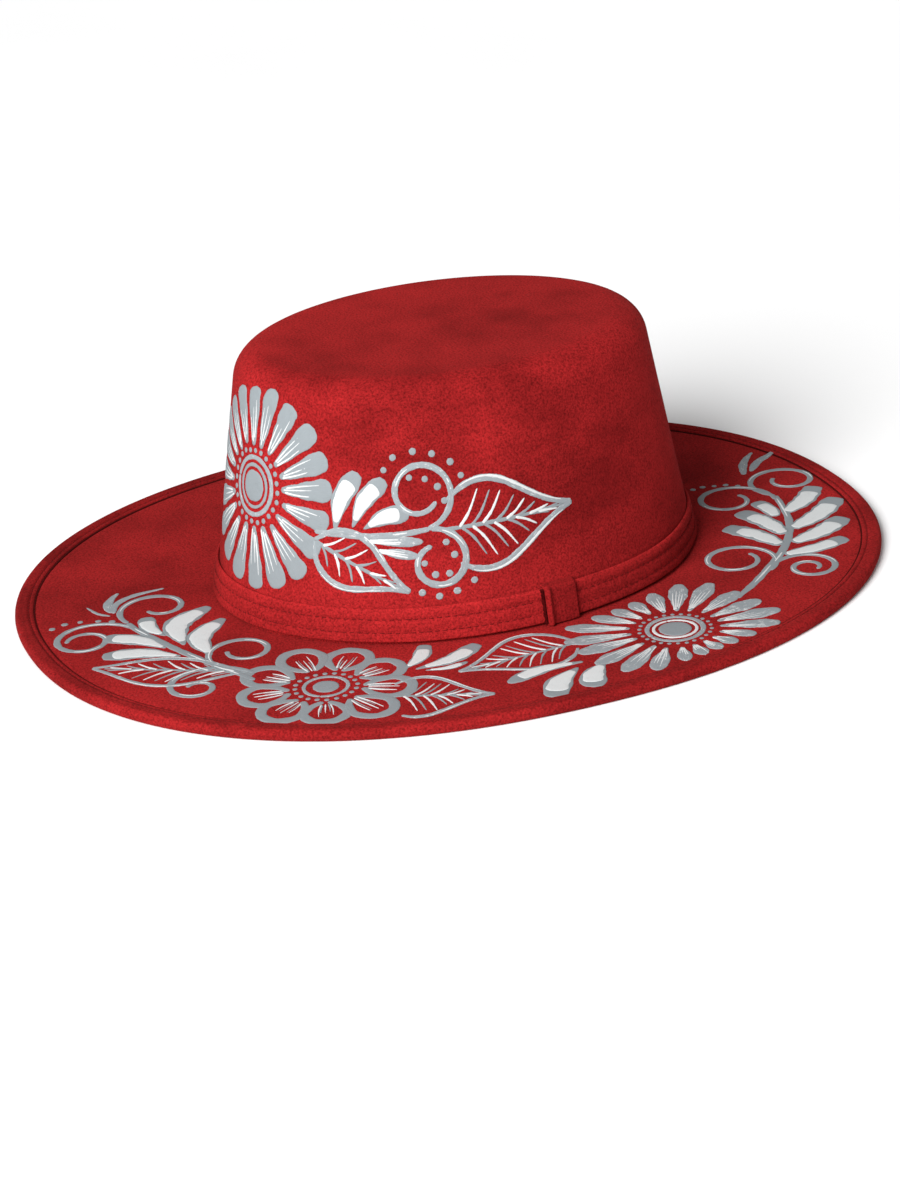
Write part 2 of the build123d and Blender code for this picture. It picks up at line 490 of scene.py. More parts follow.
def add_floor():
    corners = [(FLOOR_REACH * x, FLOOR_REACH * y, 0) for x, y in ((-1, -1), (1, -1), (1, 1), (-1, 1))]
    floor = new_object("floor", corners, [(0, 1, 2, 3)])
    made, tree, place = material("pale_floor", 0.9, 0.1)
    floor.data.materials.append(coated(made, ramp(tree, noise(tree, place, 3.0), (0.3, 0.95), (0.7, 0.97))))


def add_studio():
    add_floor()
    key = add_light("SUN", "key", away_towards(KEY_AZIMUTH, KEY_ELEVATION) * KEY_DISTANCE, KEY_STRENGTH)
    key.angle = math.radians(KEY_SPREAD)
    fill_place = away_towards(FILL_AZIMUTH, FILL_ELEVATION) * FILL_DISTANCE
    add_light("AREA", "near_fill", fill_place, FILL_STRENGTH).size = FILL_WIDTH
    world = bpy.data.worlds.new("studio")
    world.use_nodes = True
    sky = world.node_tree.nodes["Background"]
    sky.inputs["Color"].default_value = (1, 1, 1, 1)
    sky.inputs["Strength"].default_value = SKY_STRENGTH
    bpy.context.scene.world = world
    bpy.context.scene.view_settings.view_transform = "Standard"


# ---- The crown ----

def skin_swell(angles, heights):
    """How far out the crown's suede stands: drawn over felt, it lies a hair uneven."""
    swell = waves(angles, [(3, 0.10, 0.4), (7, 0.07, 2.1), (16, 0.035, 1.0)])
    return swell * np.sin(heights / 23.0 + 0.8) * np.clip((shoulder_middle - heights) / 20.0, 0, 1)


def soft_skin(grid, angles):
    return grid + outward(grid) * skin_swell(angles[None, :], grid[..., 2])[..., None]


def make_crown_cover():
    rings = crown_rings(0, brim_top, steps=60) + crown_rings(crown_suede, brim_top, steps=20)[::-1]
    cover = lathe("crown_suede_cover", rings, close_rows=True, ripple=soft_skin)
    dress(cover, crown_red, "crown_suede", "crown_cover")


# ---- The brim ----

# The groove inside the binding's lip, as (inset past the binding, depth) across it.
GROOVE = ((-1.0, 0.0), (-0.4, 0.6), (0.2, 0.65), (1.2, 0.6), (1.8, 0.15), (2.4, 0.0), (3.5, 0.0))
GAPE_LEAST, GAPE_MORE = 0.2, 0.9        # the groove's share of its full size where it is shut, and more
THREAD_RISE = 0.3               # of the stitches' path over the brim's suede


def brim_ring(inset, height, angles):
    flat = superellipse(inset, angles)
    return np.column_stack([flat, np.full(len(angles), height)])


def hole_ring(depth, height, angles):
    return ellipse(*wall_axes(depth, height), height, angles)


def gape(angles):
    """How far the groove inside the binding gapes: nearly shut at the front left, open across from it."""
    across = (1 - np.cos(angles - math.radians(CAMERA_AZIMUTH))) / 2
    return GAPE_LEAST + GAPE_MORE * across ** 2


def brim_sheet(name, low, high, steps=36):
    """A flat layer of the brim from the binding's fold in to the head's opening."""
    angles = full_turn(FINE_SEGMENTS)
    top = [brim_ring(suede + 0.1, high, angles)]
    top += [brim_ring(binding_width + past, high - dip * gape(angles), angles) for past, dip in GROOVE]
    outer, inner = top[-1], hole_ring(inner_depth + collar_cloth, high, angles)
    top += [outer + (inner - outer) * k for k in np.linspace(0, 1, steps)[1:]]
    bottom = [np.column_stack([ring[:, :2], np.full(len(ring), low)]) for ring in (top[-1], top[0])]
    return surface(name, np.array(top + bottom), close_rows=True)


def make_brim_covers():
    for name, node in (("brim_suede_top", "brim_top_cover"), ("brim_suede_under", "brim_under_cover")):
        low, high = node_box(node)
        sheet = brim_sheet(name, low[2], high[2])
        dress(sheet, brim_red, "brim_suede", node)


def binding_section():
    """The folded strip's outline, as (inset, height) round the section, starting at its upper lip.

    The strip is drawn down at each row of stitches and its lips are rounded."""
    lip, seam, top, edge = binding_width, binding_stitch_inset, brim_top, binding_top / 2
    fold_reach = 2.1
    upper = [(lip, top - 0.3), (lip - 0.05, top + 0.05), (lip - 0.35, top + 0.28), (lip - 0.9, top + 0.42),
             (seam + 0.45, top + 0.5), (seam + 0.2, top + 0.25), (seam - 0.2, top + 0.25),
             (seam - 0.5, top + 0.62), (seam - 1.6, binding_top), (fold_reach + 0.3, binding_top)]
    fold = [(fold_reach * (1 - math.cos(a)), edge + edge * math.sin(a))
            for a in np.linspace(math.pi / 2, -math.pi / 2, 11)]
    lower = [(inset, binding_top - height) for inset, height in upper[:0:-1]]
    inside = [(lip, suede - 0.02), (suede + 0.2, suede - 0.02), (suede + 0.05, edge),
              (suede + 0.2, top - 0.48), (lip - 0.3, top - 0.48)]
    return upper + fold + lower + inside


def make_binding():
    angles = full_turn(FINE_SEGMENTS)
    pucker = waves(angles, [(131, 0.035, 0.0), (57, 0.03, 1.3), (211, 0.02, 0.6)])
    grid = []
    for inset, height in binding_section():
        ring = brim_ring(inset, height, angles)
        if height > brim_top + THREAD_RISE:
            ring[:, 2] += pucker * math.exp(-((inset - binding_stitch_inset) / 1.2) ** 2)
        grid.append(ring)
    binding = surface("brim_binding_strip", np.array(grid), close_rows=True)
    dress(binding, binding_shaded_red, "binding_suede", "brim_edge_binding")


def make_lip_shadow_cord():
    """A thin dark cord of painted shadow, caught in the groove where the binding's lip meets the brim's
    suede.
    """
    angles = full_turn(FINE_SEGMENTS)
    rings = []
    for turn in full_turn(8):
        inset = binding_width + gape(angles) * (0.9 + math.cos(turn))
        height = brim_top - 0.3 * gape(angles) * (1 - math.sin(turn))
        rings.append(brim_ring(inset, height, angles))
    dress(surface("binding_lip_shadow_cord", np.array(rings), close_rows=True), painted_shadow_red, "brim_suede")


# ---- Stitches ----

STITCH_LENGTH, STITCH_SPACING, THREAD_THICKNESS, THREAD_SIDES = 2.3, 3.2, 0.36, 6
# A stitch from end to end, as (share of its length, rise, share of its thickness).
STITCH = [(-0.5, -0.32, 0.5), (-0.36, 0.05, 0.95), (0.0, 0.16, 1.0), (0.36, 0.05, 0.95), (0.5, -0.32, 0.5)]


def even_path(points, spacing):
    """Places along a closed path, spacing apart, as the points and the directions there."""
    loop = np.vstack([points, points[:1]])
    steps = np.linalg.norm(np.diff(loop, axis=0), axis=1)
    along = np.concatenate([[0], np.cumsum(steps)])
    count = int(along[-1] / spacing)
    places = (np.arange(count) + 0.5) * along[-1] / count
    at, ahead = (np.stack([np.interp(spots, along, loop[:, k]) for k in range(3)], axis=1)
                 for spots in (places, places + 0.3))
    heading = ahead - at
    return at, heading / np.linalg.norm(heading, axis=1, keepdims=True)


def stitch_row(name, node, *rows):
    """Separate stitches along closed paths: short lengths of thread that dive in at both ends.

    Each row is (path, the direction out of the seam at a point). node is the CAD row it stands for."""
    points, faces = [], []
    for path, facing in rows:
        for at, heading in zip(*even_path(path, STITCH_SPACING)):
            out = facing(at)
            across = np.cross(heading, out)
            forward = heading + across * random.uniform(-0.05, 0.05)
            first = len(points)
            for along, rise, size in STITCH:
                middle = at + forward * along * STITCH_LENGTH + out * rise
                for turn in full_turn(THREAD_SIDES):
                    around = across * math.cos(turn) + out * math.sin(turn)
                    points.append(middle + around * size * THREAD_THICKNESS / 2)
            faces += grid_faces(len(STITCH), THREAD_SIDES, False, True, first)
            for end in (first, len(points) - THREAD_SIDES):
                faces.append(tuple(range(end, end + THREAD_SIDES)))
    piece = new_object(name, points, faces)
    tidy_mesh(piece)
    dress(piece, red_thread, "red_thread", node)


def upwards(at):
    return np.array([0.0, 0.0, 1.0])


def downwards(at):
    return -upwards(at)


def away_from_crown(at):
    """Level, square to the oval at that point."""
    across, along = at[0] / crown_half_width ** 2, (at[1] - crown_middle) / crown_half_length ** 2
    return np.array([across, along, 0]) / math.hypot(across, along)


def into_crown(at):
    return -away_from_crown(at)


def make_binding_stitches():
    angles = full_turn(STITCH_SEGMENTS)
    upper = brim_ring(binding_stitch_inset, brim_top + THREAD_RISE, angles)
    lower = brim_ring(binding_stitch_inset, suede - THREAD_RISE, angles)
    stitch_row("binding_stitches", "brim_edge_stitching", (upper, upwards), (lower, downwards))


# ---- The hatband ----

band_low, band_high = band_box[0][2], band_box[1][2]
band_half_width = (band_box[1][0] - band_box[0][0]) / 2
band_face = crown_half_width - side_lean * band_low - band_half_width    # negative: outside the crown
band_thickness = 1.6
band_back = band_face + band_thickness
snug_back = -0.25                   # the band lies this close to the crown away from the keeper
stand_off_reach = math.radians(52)  # either side of the keeper, of which the last stretch is a ramp
stand_off_ramp = math.radians(20)
upper_seam = band_high - 4.5
lower_seam = band_low + 4.0
keeper_middle = math.radians(97.0)
keeper_width = 12.5
tuck_depth = 1.3                    # how far the stitches sink in, in front of the keeper
tuck_middle = keeper_middle - math.radians(5.6)
tuck_spread = math.radians(0.9)


def band_stand_off(angles):
    """How far out the hatband stands, from 0 where it is snug to 1 where the keeper's back leg slides."""
    apart = np.abs((angles - keeper_middle + math.pi) % (2 * math.pi) - math.pi)
    near = np.clip((stand_off_reach - apart) / stand_off_ramp, 0, 1)
    return near ** 2 * (3 - 2 * near)


def band_section():
    """(how far out from the back, 0 to 1, height) round the hatband's section, from its lower back edge."""
    low, high = band_low, band_high
    return [(0.0, low + 0.4), (0.35, low), (0.8, low + 0.05), (1.0, low + 0.55), (1.02, low + 2.2),
            (1.0, lower_seam - 0.8), (0.86, lower_seam - 0.2), (0.86, lower_seam + 0.2),
            (1.0, lower_seam + 0.8), (1.02, (lower_seam + upper_seam) / 2), (1.0, upper_seam - 0.9),
            (0.82, upper_seam - 0.25), (0.82, upper_seam + 0.25), (0.98, upper_seam + 0.9),
            (1.02, upper_seam + 1.9), (0.92, high - 1.3), (0.7, high - 0.4), (0.35, high), (0.0, high - 0.5)]


def band_point(share, height, angles, tuck=0.0):
    """Points on the hatband: share runs from its back, 0, to its face, 1, which tuck brings nearer."""
    back = snug_back + (band_back - snug_back) * band_stand_off(angles)
    width, length = wall_axes(back - share * (band_thickness - tuck), height)
    return ellipse(width, length, height, angles)


def make_hatband():
    gap = 0.2 / crown_half_width
    angles = np.linspace(keeper_middle + gap, keeper_middle - gap + 2 * math.pi, SEGMENTS * 2)
    section = band_section()
    grid = np.array([band_point(share, height, angles) for share, height in section])
    rumple = 1.4 * waves(angles, [(9, 0.10, 0.2), (23, 0.07, 1.1), (61, 0.04, 0.5), (139, 0.03, 2.0)])
    face = np.array([max(share - 0.5, 0) for share, height in section])
    grid = grid + outward(grid) * (face[:, None] * rumple)[..., None]
    sag = np.minimum(waves(angles, [(4, 0.16, 1.7), (11, 0.09, 0.3)]), 0.15)
    upper_part = np.array([(height - band_low) / (band_high - band_low) for share, height in section])
    grid[..., 2] += sag * upper_part[:, None]
    band = surface("hatband_strip", grid, close_rows=True, close_columns=False, caps=True)
    dress(band, band_red, "band_suede", "hatband")


def make_hatband_stitches():
    angles = full_turn(STITCH_SEGMENTS)
    tuck = tuck_depth * np.exp(-((angles - tuck_middle) / tuck_spread) ** 2)
    for side, height, share in (("upper", upper_seam, 0.83), ("lower", lower_seam, 0.87)):
        path = band_point(share, height, angles, tuck)
        stitch_row("hatband_stitches_" + side, f"hatband_{side}_stitching", (path, away_from_crown))


# ---- The keeper ----

keeper_front = band_face - 0.5 - 1.2    # the strap's clearance and its thickness
keeper_back = -0.3
keeper_strap = 1.0
keeper_rib = 2.0                    # how far its rolled front edge reaches past the strap
keeper_start = -keeper_width / 2 - keeper_rib
keeper_edge = 0.55                  # how far its rounded edges reach along the band
rib_inset, rib_spread, rib_rise = 1.3, 1.1, 1.5
hem_low, hem_high = keeper_box[0][2] + 0.6, keeper_box[1][2] - 1.4


def keeper_point(along, depth, height):
    """A point on the keeper: along the band from its middle, and its depth and height."""
    bow = 0.0
    if depth <= band_face:
        rib = math.exp(-((along - keeper_start - rib_inset) / rib_spread) ** 2)
        bow = 0.1 * math.cos(math.pi * along / keeper_width) + rib_rise * rib
    width, length = wall_axes(depth - bow, height)
    reach = math.hypot(width * math.cos(keeper_middle), length * math.sin(keeper_middle))
    return ellipse(width, length, height, np.array([keeper_middle + along / reach]))[0]


def keeper_section(inset):
    """A closed path round the hatband as (depth, height), inset millimetres into the strap's thickness."""
    front, back = keeper_front + inset, keeper_back - inset * 0.5
    low, high = keeper_box[0][2] + inset * 0.6, keeper_box[1][2] - inset
    # Each corner's depth and height, which way the middle of its arc lies, the arc's reach and its start.
    corners = [(front, low, 1, 1, 1.6, 1.2, 1.5), (front, high, 1, -1, 2.0, 1.9, 1.0),
               (back, high, -1, -1, 0.5, 0.9, 0.5), (back, low, -1, 1, 0.4, 0.5, 0.0)]
    path = []
    for depth, height, inwards, upward, across, tall, start in corners:
        for k in range(7):
            a = math.pi * (start - 0.5 * k / 6)
            path.append((depth + across * (inwards + math.cos(a)), height + tall * (upward + math.sin(a))))
    return path


def make_keeper():
    """A loop of folded suede right round the band, with rounded edges."""
    half = keeper_width / 2
    roll = [(keeper_edge * (1 - math.cos(a)), 0.5 - 0.5 * math.sin(a))
            for a in np.linspace(0, math.pi / 2, 7)]
    sections = [(keeper_start + along, thin) for along, thin in roll]
    sections += [(along, 0.0) for along in np.linspace(keeper_start + 0.9, half - 0.9, 17)]
    sections += [(half - along, thin) for along, thin in roll[::-1]]
    sections += [(along, 1 - thin) for along, thin in sections[::-1]]
    grid = [[keeper_point(along, *p) for p in keeper_section(keeper_strap * share)]
            for along, share in sections]
    keeper = surface("keeper_loop", np.array(grid), close_rows=True)
    dress(keeper, keeper_shaded_red, "band_suede", "band_keeper", body="keeper")


def make_keeper_fold_shadow():
    """A dark ragged strip of painted shadow in front of the rib, shaped as the strap's turned-in hem."""
    grid = []
    for turn in full_turn(8):
        row = []
        for height in np.linspace(hem_low, hem_high, 40):
            thick = 0.75 + 0.2 * math.sin(height * 2.3) + 0.12 * math.sin(height * 5.1)
            along = keeper_start - 0.35 + thick * math.cos(turn)
            row.append(keeper_point(along, band_face + 0.1 + 0.5 * math.sin(turn), height))
        grid.append(row)
    hem = surface("keeper_fold_shadow", np.array(grid), close_rows=True, close_columns=False, caps=True)
    dress(hem, painted_shadow_red, "band_suede", body="keeper")


# ---- Inside the crown ----

def ring_section(depth, far_depth, low, high, steps):
    """The outline of a thin upright band that follows the crown, as rings all round its section."""
    return wall_rings(depth, low, high, steps) + wall_rings(far_depth, low, high, steps)[::-1]


def round_cord(name, depth, height, across, tall, sides):
    """A closed cord round the inside of the crown, with an oval section."""
    rings = [hole_ring(depth + across * math.cos(a), height + tall * math.sin(a), full_turn())
             for a in full_turn(sides)]
    return surface(name, np.array(rings), close_rows=True)


def pleats(grid, angles):
    """Cloth held a little full, so that it stands in soft upright folds."""
    folds = np.abs(waves(angles, [(38, 0.35, 0.0), (14.06, 0.245, 1.0)]))
    middle = np.sin(np.linspace(0, math.pi, grid.shape[0] // 2))
    fade = np.concatenate([middle, middle[::-1]])
    return grid - outward(grid) * (folds * fade[:, None])[..., None]


def slump(grid, angles):
    """Leather that stands away from the collar a little here and there."""
    return grid - outward(grid) * np.abs(waves(angles, [(5, 0.12, 0.3), (13, 0.07, 1.9)]))[None, :, None]


def make_lining():
    low, high = lining_box[0][2], lining_box[1][2]
    lined_depth = inner_depth + lining_cloth
    side = lathe("lining_side_satin", ring_section(inner_depth, lined_depth, low, high, 24), close_rows=True,
                 ripple=pleats)
    dress(side, satin, "lining_satin", "lining_side")
    outside, inside = (crown_rings(depth, high, steps=4, turns=12) for depth in (inner_depth, lined_depth))
    tip = lathe("lining_tip_satin", outside + inside[::-1], close_rows=True)
    dress(tip, satin, "lining_satin", "lining_tip")
    piping = round_cord("lining_seam_piping", lined_depth + 0.15, high, 0.45, 0.5, 8)
    dress(piping, satin, "lining_satin")


def make_patch(name, azimuth, width, depth, thickness, low, high):
    """A small strip with rounded edges that lies on the inside of the sweatband."""
    radius = crown_half_length if abs(math.cos(azimuth)) > 0.9 else crown_half_width
    span = width / radius / 2
    angles = np.linspace(azimuth - span, azimuth + span, 15)
    edge = [(0.0, 0.0), (0.25, 0.7), (0.7, 1.0)]
    heights = [(low + rise, share) for rise, share in edge] + [((low + high) / 2, 1.0)]
    heights += [(high - drop, share) for drop, share in edge[::-1]]
    front = [hole_ring(depth + thickness * share, z, angles) for z, share in heights]
    back = [hole_ring(depth, z, angles) for z, share in heights[::-1]]
    return surface(name, np.array(front + back), close_rows=True, close_columns=False, caps=True)


def make_sweatband():
    low, high = sweatband_box[0][2], sweatband_box[1][2]
    outer = crown_half_width - side_lean * low - (sweatband_box[1][0] - sweatband_box[0][0]) / 2
    inner = outer + sweatband_leather
    section = ring_section(outer, inner, low, high, 20)
    strip = lathe("sweatband_strip", section, close_rows=True, ripple=slump)
    dress(strip, leather, "sweatband_leather", "sweatband")
    reed_middle, reed_radius = (reed_box[0][2] + reed_box[1][2]) / 2, (reed_box[1][2] - reed_box[0][2]) / 2
    reed = round_cord("sweatband_reed_cord", (outer + inner) / 2, reed_middle, reed_radius, reed_radius, 10)
    dress(reed, leather, "sweatband_leather", "sweatband_reed")
    path = hole_ring(inner + 0.18, sweatband_seam, full_turn(STITCH_SEGMENTS))
    stitch_row("sweatband_stitches", "sweatband_stitching", (path, into_crown))
    lying = inner + 0.22
    tape = make_patch("sweatband_back_strip", math.pi, back_tape_width, lying, 0.45, low + 0.2, high - 0.1)
    dress(tape, leather, "sweatband_leather", "sweatband_back_tape")
    label = make_patch("blank_size_label", math.radians(label_azimuth), label_width, lying, 0.3,
                       label_box[0][2], label_box[1][2])
    dress(label, label_cloth, "label_cloth", "size_label")


def dress_hidden_nodes():
    """The CAD nodes that stay: the felt, the wire and the collar, all inside the covers."""
    for node, skin in (("crown_stiffener", felt), ("brim_stiffener", felt), ("brim_edge_wire", steel),
                       ("head_collar", brim_red), ("collar_stitching", red_thread)):
        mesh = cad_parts[node].data
        mesh.materials.clear()
        mesh.materials.append(skin)


# ---- Painting: strokes on two canvases ----

GIRTH_HEIGHT = 55.0             # distances round the crown are measured at this height
girth_angles = np.linspace(-math.pi / 2, math.pi, 541)
girth_steps = np.linalg.norm(np.diff(ellipse(*wall_axes(0, GIRTH_HEIGHT), 0, girth_angles), axis=0), axis=1)
girth = np.concatenate([[0], np.cumsum(girth_steps)])
girth -= np.interp(0, girth_angles, girth)


def crown_canvas(spots, lift):
    """Points over the crown, from how far round from the front to the left, and how high up."""
    angles = np.interp(spots[:, 0], girth, girth_angles)
    up = spots[:, 1]
    wall = (*wall_axes(-lift, up), up)
    shoulder = shoulder_axes(-lift, shoulder_start + np.clip(up - spring_height, 0, None) / shoulder_radius)
    width, length, height = (np.where(up > spring_height, *pair) for pair in zip(shoulder, wall))
    points = ellipse(width, length, height, angles)
    return points + outward(points) * skin_swell(angles, height)[:, None]


def brim_canvas(spots, lift):
    """Points over the brim, from how far back, and how far out to the left."""
    return np.stack([spots[:, 1], spots[:, 0], brim_top + lift], axis=1)


def smooth_path(points, steps=8):
    """A smooth curve through the points, by Catmull and Rom's rule."""
    p = np.array(points, float)
    if len(p) == 2:
        return p[0] + (p[1] - p[0]) * np.linspace(0, 1, steps + 1)[:, None]
    p = np.vstack([2 * p[0] - p[1], p, 2 * p[-1] - p[-2]])
    share = np.linspace(0, 1, steps, endpoint=False)[:, None]
    parts = []
    for a, b, c, d in zip(p, p[1:], p[2:], p[3:]):
        parts.append(0.5 * (2 * b + (c - a) * share + (2 * a - 5 * b + 4 * c - d) * share ** 2
                            + (3 * b - a - 3 * c + d) * share ** 3))
    return np.vstack(parts + [p[-2:-1]])


def evened(path, step):
    """The same path with its points a step apart, and how far along each one is."""
    lengths = np.concatenate([[0], np.cumsum(np.linalg.norm(np.diff(path, axis=0), axis=1))])
    places = np.linspace(0, lengths[-1], max(7, int(lengths[-1] / step) + 1))
    return np.stack([np.interp(places, lengths, path[:, k]) for k in (0, 1)], axis=1), places


class Paint:
    """Brush strokes of one paint on one canvas, gathered into one piece."""

    DOME = [(-1, 0.0), (-0.93, 0.7), (-0.6, 1.0), (0, 1.0), (0.6, 1.0), (0.93, 0.7), (1, 0.0)]
    SUNK = -0.35                # how far under the skin the edges go
    STEP = 0.7                  # between the points along a stroke
    THICKNESS = 0.13

    def __init__(self, name, canvas, skin, slot, lift):
        self.name, self.canvas, self.skin, self.slot, self.lift = name, canvas, skin, slot, lift
        self.points, self.faces, self.brush = [], [], []

    def stroke(self, path, widths, wobble=0.05, blunt=1.0):
        """Paint along a path. widths holds full widths, evenly spread from its start to its end.

        blunt below 1 makes the ends squarer. Each stroke lies a hair higher or lower than the rest."""
        lift = self.lift + random.uniform(0, 0.06)
        middle, places = evened(np.array(path, float), self.STEP)
        size = np.interp(places / places[-1], np.linspace(0, 1, len(widths)), widths)
        size = size * (1 + wobble * np.sin(places * random.uniform(0.5, 0.9) + random.uniform(0, 6)))
        size += [random.uniform(-0.2, 0.2) * min(1.0, k) for k in size]
        from_end = np.minimum(places, places[-1] - places)
        round_off = np.clip(from_end / np.maximum(size / 2 * blunt, 0.2), 0, 1)
        half = np.maximum(size / 2 * np.sqrt(1 - (1 - round_off) ** 2), 0.03)
        heading = np.gradient(middle, axis=0)
        heading /= np.maximum(np.linalg.norm(heading, axis=1, keepdims=True), 1e-6)
        aside = np.stack([-heading[:, 1], heading[:, 0]], axis=1)
        dome = np.minimum(self.THICKNESS, half * 0.4)
        offset = random.uniform(0, 500)
        section = [(across, lift + dome * rise) for across, rise in self.DOME]
        section += [(across, np.full(len(middle), self.SUNK)) for across in (1, -1)]
        first, count = len(self.points), len(middle)
        for across, level in section:
            self.points.extend(self.canvas(middle + aside * (half * across)[:, None], level))
            self.brush.extend(np.stack([places + offset, half * across + offset], axis=1))
        self.faces += grid_faces(len(section), count, True, False, first)
        for end in (first, first + count - 1):
            self.faces.append(tuple(end + r * count for r in range(len(section))))

    def dot(self, spot, size):
        """A round dab, a touch longer than it is wide."""
        x, y = spot
        a = random.uniform(0, math.pi)
        dx, dy = math.cos(a) * size * 0.55, math.sin(a) * size * 0.55
        self.stroke([(x - dx, y - dy), (x, y), (x + dx, y + dy)], [size, size * 1.04, size])

    def finish(self):
        made = new_object(self.name, self.points, self.faces)
        layer = made.data.uv_layers.new(name="brush")
        for loop in made.data.loops:
            layer.data[loop.index].uv = self.brush[loop.vertex_index]
        tidy_mesh(made, join=False)
        dress(made, self.skin, self.slot)


class Canvas:
    """The three paints on one part of the hat."""

    def __init__(self, part, canvas):
        self.grey = Paint(part + "_paint_grey", canvas, grey_paint, "paint_grey", 0.02)
        self.pale = Paint(part + "_paint_pale", canvas, pale_paint, "paint_grey", 0.05)
        self.white = Paint(part + "_paint_white", canvas, white_paint, "paint_white", 0.1)

    def finish(self):
        for paint in (self.grey, self.pale, self.white):
            paint.finish()


# ---- Motifs ----

# Shares of a petal's width, from its root to its tip.
PETAL = [0.22, 0.36, 0.48, 0.6, 0.71, 0.82, 0.92, 0.99, 1.0, 0.9]
PLUME = [0.1, 0.28, 0.5, 0.72, 0.88, 0.97, 1.0, 0.97, 0.85, 0.55]
SPEAR = [0.16, 0.3, 0.46, 0.64, 0.82, 0.96, 1.0, 0.92, 0.7, 0.36]
BLADE = [0.42, 0.64, 0.82, 0.93, 0.98, 1.0, 1.0, 0.98, 0.9, 0.72]
SICKLE = [0.12, 0.36, 0.62, 0.85, 0.98, 1.0, 0.96, 0.82, 0.6, 0.25]
# Shares of a leaf's half-width, from its base to its tip.
LEAF = [0, 0.58, 0.86, 0.99, 1.0, 0.9, 0.7, 0.47, 0.26, 0.1, 0]
SLIM_LEAF = [0, 0.2, 0.48, 0.76, 0.94, 1.0, 0.95, 0.78, 0.52, 0.24, 0]
# Shares of a line's width, from its start to its end.
TAPER = [1.0, 0.95, 0.85, 0.7, 0.5, 0.3]
SLENDER = TAPER[::-1] + TAPER
# Half of an outlined petal's loop, as (distance from the flower's middle, share of its half-width).
HALF_LOOP = [(15.5, -0.10), (20, -0.62), (26, -0.95), (31.5, -0.80), (35.3, -0.34)]
LIP_MARGIN, BAND_MARGIN = 1.2, 2.5      # that petals keep from the binding and the hatband
LOOK_WIDTH = 0.6                # half the width of the strip in which they look for them


def widths(shape, width):
    return [share * width for share in shape]


def polar(centre, angle, radius):
    return np.array([centre[0] + radius * math.cos(angle), centre[1] + radius * math.sin(angle)])


def ends_and_aside(root, tip):
    """Both ends as arrays, the way from one to the other, and the direction square to it."""
    root, tip = np.array(root, float), np.array(tip, float)
    along = tip - root
    return root, tip, along, np.array([-along[1], along[0]]) / np.linalg.norm(along)


def along_path(path, share):
    """The place at a share of the way along a path."""
    return np.array([np.interp(share, np.linspace(0, 1, len(path)), path[:, k]) for k in (0, 1)])


def curl(start, centre, sweep, end_radius, power=1.5):
    """A spiral from start round centre by sweep degrees, closing in to end_radius."""
    start, centre = np.array(start, float), np.array(centre, float)
    reach = np.linalg.norm(start - centre)
    first = math.atan2(start[1] - centre[1], start[0] - centre[0])
    share = np.linspace(0, 1, int(abs(sweep) / 5) + 2)
    turn = first + math.radians(sweep) * share
    radius = end_radius + (reach - end_radius) * (1 - share) ** power
    return centre + np.stack([np.cos(turn), np.sin(turn)], axis=1) * radius[:, None]


def hand_drawn_ring(centre, radius, first):
    """A circle that overlaps its start a little and isn't quite round."""
    where = random.uniform(0, 6)
    turns = np.radians(np.linspace(first, first + 362, 60))
    return np.array([polar(centre, a, radius * (1 + 0.02 * math.sin(2 * a + where))) for a in turns])


def streaks(paint, root, tip, width, count, reach=0.62, size=0.65, gather=0.35):
    """Fine strokes that fan out from a petal's root to its tip. gather is how near they start together."""
    root, tip, along, aside = ends_and_aside(root, tip)
    for k in range(count):
        spread = ((k - (count - 1) / 2) / max(count - 1, 1) + random.uniform(-0.06, 0.06)) * width * 0.5
        end = root + along * reach * random.uniform(0.78, 1.12) + aside * spread
        start = root + along * random.uniform(0.03, 0.14) + aside * spread * gather
        middle = (start + end) / 2 + aside * spread * 0.15
        paint.stroke(smooth_path([start, middle, end]), widths(TAPER, size * random.uniform(0.85, 1.35)))


def dots(paint, spots, size):
    for spot in spots:
        paint.dot(spot, size * random.uniform(0.9, 1.12))


def flower_middle(canvas, centre, disc, rings, dot_ring, dot_size, dot_count):
    """A painted disc, rings round it and a ring of dots."""
    canvas.grey.stroke([polar(centre, math.pi, disc), polar(centre, 0, disc)], [disc * 2] * 2, wobble=0.02)
    for radius, width, paint in rings:
        ring = hand_drawn_ring(centre, radius, random.uniform(0, 360))
        paint.stroke(ring, [width, width * 1.2, width])
    for k in range(dot_count):
        a = 2 * math.pi * k / dot_count
        canvas.grey.dot(polar(centre, a, dot_ring * random.uniform(0.98, 1.02)), dot_size)


def open_canvas(centre, angle):
    return math.inf


def room_on_brim(centre, angle):
    """How far from a spot on the brim the binding's lip or the hatband is, less a little."""
    away = np.array([math.cos(angle), math.sin(angle)])
    lip = superellipse(binding_width + LIP_MARGIN, full_turn(1440))
    foot = ellipse(*wall_axes(band_face - BAND_MARGIN, 0), 0, full_turn(1440))[:, :2]
    rays = np.vstack([lip, foot])[:, ::-1] - np.array(centre)
    ahead = rays @ away
    aside = np.abs(rays @ np.array([-away[1], away[0]]))
    return ahead[(ahead > 0) & (aside < LOOK_WIDTH)].min()


